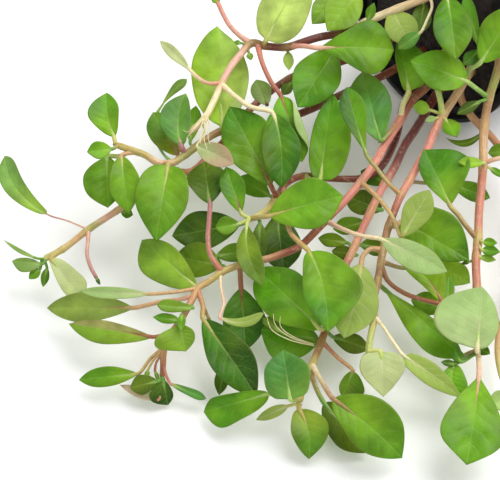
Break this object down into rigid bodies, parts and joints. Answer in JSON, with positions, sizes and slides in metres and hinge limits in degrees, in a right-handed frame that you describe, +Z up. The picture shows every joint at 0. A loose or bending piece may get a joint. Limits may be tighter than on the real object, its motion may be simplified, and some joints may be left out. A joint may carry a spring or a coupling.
{
  "type": "potted marsh plant",
  "caption": "Leafy marsh plant with trailing salmon-red stems and paired oval green leaves, spilling over a flat surface from a small black pot that lies on its side.",
  "frame": {"origin": "on the surface, under the middle of the whole object's box", "axes": "+Z up from the surface; +X to the right and +Y to the back of the view in which the stems spread to the near left out of the pot's mouth"},
  "size_m": [0.1544, 0.1668, 0.0518],
  "materials": {
    "pot_plastic": "black moulded plastic, slightly scuffed",
    "growing_medium": "damp dark brown fibrous peat",
    "stem": "smooth fleshy stem, salmon red to tan, darker near the pot and pale at the joints",
    "leaf": "satin green leaf with paler midrib and veins and a pale grey-green underside"
  },
  "bodies": {
    "root": {"pot": "pot_plastic", "growing_medium": "growing_medium", "stem_top": "stem", "leaf_top_1": "leaf", "leaf_top_2": "leaf", "leaf_top_3": "leaf", "leaf_top_4": "leaf", "leaf_top_5": "leaf", "leaf_top_6": "leaf", "stem_upper_left": "stem", "leaf_upper_left_1": "leaf", "leaf_upper_left_2": "leaf", "leaf_upper_left_3": "leaf", "leaf_upper_left_4": "leaf", "leaf_upper_left_5": "leaf", "leaf_upper_left_6": "leaf", "leaf_upper_left_7": "leaf", "stem_left": "stem", "leaf_left_1": "leaf", "leaf_left_2": "leaf", "stem_inner": "stem", "leaf_inner_1": "leaf", "leaf_inner_2": "leaf", "leaf_inner_3": "leaf", "leaf_inner_4": "leaf", "leaf_inner_5": "leaf", "leaf_inner_6": "leaf", "stem_long": "stem", "leaf_long_1": "leaf", "leaf_long_2": "leaf", "leaf_long_3": "leaf", "leaf_long_4": "leaf", "leaf_long_5": "leaf", "leaf_long_6": "leaf", "leaf_long_7": "leaf", "leaf_long_8": "leaf", "leaf_long_9": "leaf", "leaf_long_10": "leaf", "leaf_long_11": "leaf", "stem_middle": "stem", "leaf_middle_1": "leaf", "leaf_middle_2": "leaf", "leaf_middle_3": "leaf", "leaf_middle_4": "leaf", "leaf_middle_5": "leaf", "stem_centre": "stem", "leaf_centre_1": "leaf", "leaf_centre_2": "leaf", "leaf_centre_3": "leaf", "leaf_centre_4": "leaf", "leaf_centre_5": "leaf", "leaf_centre_6": "leaf", "stem_right": "stem", "leaf_right_1": "leaf", "leaf_right_2": "leaf", "leaf_right_3": "leaf", "leaf_right_4": "leaf", "stem_back_left": "stem", "leaf_back_left_1": "leaf", "stem_far_right": "stem"}
  },
  "joints": []
}
